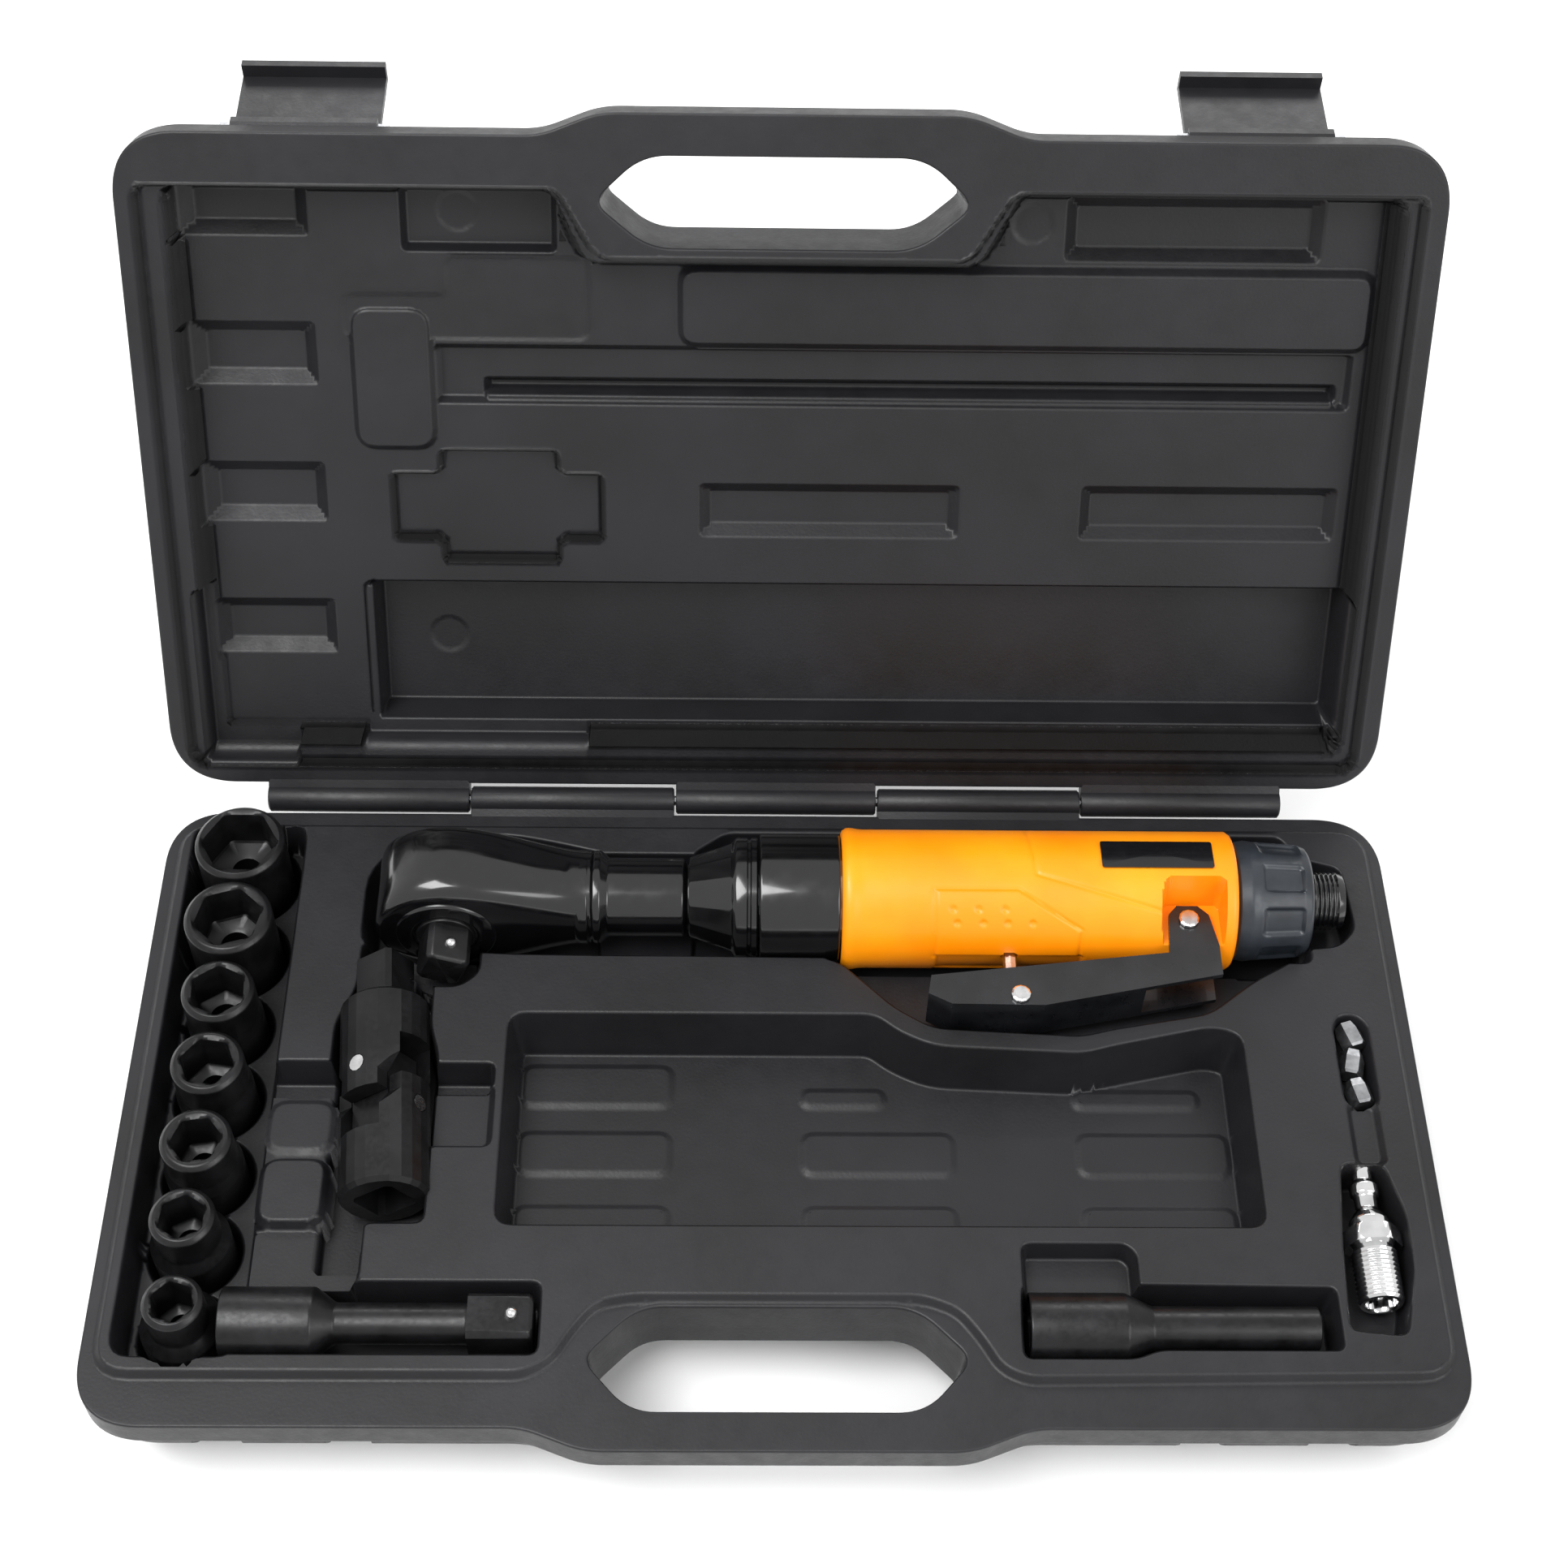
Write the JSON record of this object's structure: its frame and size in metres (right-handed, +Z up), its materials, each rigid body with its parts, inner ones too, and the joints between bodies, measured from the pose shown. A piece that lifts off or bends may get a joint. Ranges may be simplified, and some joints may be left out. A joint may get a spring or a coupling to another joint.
{
  "type": "socket wrench set in case",
  "caption": "Air ratchet wrench with sockets, universal joint, extension bar, bit adaptor, bits and air plug in a black moulded hinged case with latches and handle.",
  "frame": {"origin": "centre of the base's flat underside, on the surface it stands on", "axes": "+X to the right along the case's long side, +Y back towards the hinge, +Z up"},
  "size_m": [0.36, 0.3294, 0.2214],
  "materials": {
    "case_plastic": "satin moulded",
    "black_oxide": "black oxide",
    "gloss_black": "gloss enamel",
    "orange_grip": "satin moulded",
    "dark_satin": "satin moulded",
    "lever_black": "satin enamel",
    "bright_steel": "bright",
    "grey_steel": "ground",
    "chrome": "polished",
    "label_black": "gloss"
  },
  "bodies": {
    "case": {"case_base": "case_plastic", "hinge_pin": "grey_steel"},
    "lid": {"case_lid": "case_plastic", "latch_pin_left": "grey_steel", "latch_pin_right": "grey_steel"},
    "left_latch": {"latch_left": "case_plastic"},
    "right_latch": {"latch_right": "case_plastic"},
    "wrench": {"ratchet_head": "gloss_black", "head_cover": "gloss_black", "clamp_nut": "gloss_black", "front_housing": "gloss_black", "grip_shell": "orange_grip", "grip_label": "label_black", "ring_gear": "grey_steel", "motor_plate_front": "grey_steel", "motor_plate_rear": "grey_steel", "motor_cylinder": "grey_steel", "air_inlet": "gloss_black", "lever_pivot_pin": "bright_steel"},
    "drive": {"drive_spindle": "gloss_black", "drive_ball": "bright_steel"},
    "yoke": {"ratchet_yoke": "grey_steel", "ratchet_pawl": "grey_steel"},
    "crank": {"crankshaft": "grey_steel", "planet_gear_1": "grey_steel", "planet_gear_2": "grey_steel", "planet_gear_3": "grey_steel"},
    "rotor": {"motor_rotor": "grey_steel"},
    "lever": {"throttle_lever": "lever_black", "lever_cross_pin": "bright_steel"},
    "valve": {"valve_stem": "bright_steel"},
    "deflector": {"exhaust_deflector": "dark_satin"},
    "reverser": {"reverse_knob": "grey_steel"},
    "ujoint_socket": {"ujoint_socket_end": "black_oxide", "ujoint_pin_socket_side": "bright_steel"},
    "ujoint_middle": {"ujoint_block": "black_oxide", "ujoint_pin_square_side": "bright_steel"},
    "ujoint_square": {"ujoint_square_end": "black_oxide"},
    "extension": {"extension_bar": "black_oxide", "extension_bar_ball": "bright_steel"},
    "adaptor": {"bit_adaptor": "black_oxide"},
    "plug": {"air_plug": "chrome"},
    "socket_19": {"socket_19mm": "black_oxide"},
    "socket_17": {"socket_17mm": "black_oxide"},
    "socket_14": {"socket_14mm": "black_oxide"},
    "socket_13": {"socket_13mm": "black_oxide"},
    "socket_12": {"socket_12mm": "black_oxide"},
    "socket_11": {"socket_11mm": "black_oxide"},
    "socket_10": {"socket_10mm": "black_oxide"},
    "bit_1": {"driver_bit_1": "grey_steel"},
    "bit_2": {"driver_bit_2": "grey_steel"},
    "bit_3": {"driver_bit_3": "grey_steel"}
  },
  "joints": [
    {"name": "lid_hinge", "type": "hinge", "parent": "case", "child": "lid", "pos_m": [0, 0.1018, 0.038], "axis": [-1, 0, 0], "range_deg": [-116.2, 0]},
    {"name": "left_latch_hinge", "type": "hinge", "parent": "lid", "child": "left_latch", "pos_m": [-0.1295, 0.20053, 0.20875], "axis": [-1, 0, 0], "range_deg": [-152, 20]},
    {"name": "right_latch_hinge", "type": "hinge", "parent": "lid", "child": "right_latch", "pos_m": [0.1295, 0.20053, 0.20875], "axis": [-1, 0, 0], "range_deg": [-152, 20]},
    {"name": "wrench_lift", "type": "slide", "parent": "case", "child": "wrench", "axis": [0, 0, 1], "range_m": [0, 0.06]},
    {"name": "socket_19_lift", "type": "slide", "parent": "case", "child": "socket_19", "axis": [0, 0, 1], "range_m": [0, 0.06]},
    {"name": "socket_17_lift", "type": "slide", "parent": "case", "child": "socket_17", "axis": [0, 0, 1], "range_m": [0, 0.06]},
    {"name": "socket_14_lift", "type": "slide", "parent": "case", "child": "socket_14", "axis": [0, 0, 1], "range_m": [0, 0.06]},
    {"name": "socket_13_lift", "type": "slide", "parent": "case", "child": "socket_13", "axis": [0, 0, 1], "range_m": [0, 0.06]},
    {"name": "socket_12_lift", "type": "slide", "parent": "case", "child": "socket_12", "axis": [0, 0, 1], "range_m": [0, 0.06]},
    {"name": "socket_11_lift", "type": "slide", "parent": "case", "child": "socket_11", "axis": [0, 0, 1], "range_m": [0, 0.06]},
    {"name": "socket_10_lift", "type": "slide", "parent": "case", "child": "socket_10", "axis": [0, 0, 1], "range_m": [0, 0.06]},
    {"name": "ujoint_lift", "type": "slide", "parent": "case", "child": "ujoint_socket", "axis": [0, 0, 1], "range_m": [0, 0.05]},
    {"name": "extension_lift", "type": "slide", "parent": "case", "child": "extension", "axis": [0, 0, 1], "range_m": [0, 0.05]},
    {"name": "adaptor_lift", "type": "slide", "parent": "case", "child": "adaptor", "axis": [0, 0, 1], "range_m": [0, 0.05]},
    {"name": "plug_lift", "type": "slide", "parent": "case", "child": "plug", "axis": [0, 0, 1], "range_m": [0, 0.04]},
    {"name": "bit_1_lift", "type": "slide", "parent": "case", "child": "bit_1", "axis": [0, 0, 1], "range_m": [0, 0.03]},
    {"name": "bit_2_lift", "type": "slide", "parent": "case", "child": "bit_2", "axis": [0, 0, 1], "range_m": [0, 0.03]},
    {"name": "bit_3_lift", "type": "slide", "parent": "case", "child": "bit_3", "axis": [0, 0, 1], "range_m": [0, 0.03]},
    {"name": "drive_spin", "type": "hinge", "parent": "wrench", "child": "drive", "pos_m": [-0.0949, 0.0634, 0.0426], "axis": [0, 1, 0], "continuous": true},
    {"name": "yoke_rock", "type": "hinge", "parent": "wrench", "child": "yoke", "pos_m": [-0.0949, 0.0634, 0.0426], "axis": [0, 1, 0], "range_deg": [-8, 8]},
    {"name": "rotor_spin", "type": "hinge", "parent": "wrench", "child": "rotor", "pos_m": [0.04, 0.0634, 0.0426], "axis": [1, 0, 0], "continuous": true},
    {"name": "crank_spin", "type": "hinge", "parent": "wrench", "child": "crank", "pos_m": [-0.03, 0.0634, 0.0426], "axis": [1, 0, 0], "continuous": true},
    {"name": "deflector_turn", "type": "hinge", "parent": "wrench", "child": "deflector", "pos_m": [0.143, 0.0634, 0.0426], "axis": [1, 0, 0], "continuous": true},
    {"name": "reverse_knob_turn", "type": "hinge", "parent": "wrench", "child": "reverser", "pos_m": [-0.0949, 0.0784, 0.0426], "axis": [0, 1, 0], "range_deg": [0, 60]},
    {"name": "lever_press", "type": "hinge", "parent": "wrench", "child": "lever", "pos_m": [0.118, 0.0514, 0.0426], "axis": [0, 0, -1], "range_deg": [0, 6.5], "stiffness_Nm_per_rad": 2, "springref_deg": -5.73},
    {"name": "valve_push", "type": "slide", "parent": "wrench", "child": "valve", "axis": [0, 1, 0], "range_m": [0, 0.006]},
    {"name": "ujoint_socket_pin", "type": "hinge", "parent": "ujoint_socket", "child": "ujoint_middle", "pos_m": [-0.10748, -0.00788, 0.039], "axis": [0.8355, 0.0731, 0.5446], "range_deg": [-0.8, 2]},
    {"name": "ujoint_square_pin", "type": "hinge", "parent": "ujoint_middle", "child": "ujoint_square", "pos_m": [-0.10852, 0.00408, 0.039], "axis": [-0.5426, -0.0475, 0.8387], "range_deg": [-2, 2]}
  ],
  "couplings": [
    {"joint": "rotor_spin", "follows": "crank_spin", "ratio": 4},
    {"joint": "valve_push", "follows": "lever_press", "m_per_rad": 0.051}
  ]
}
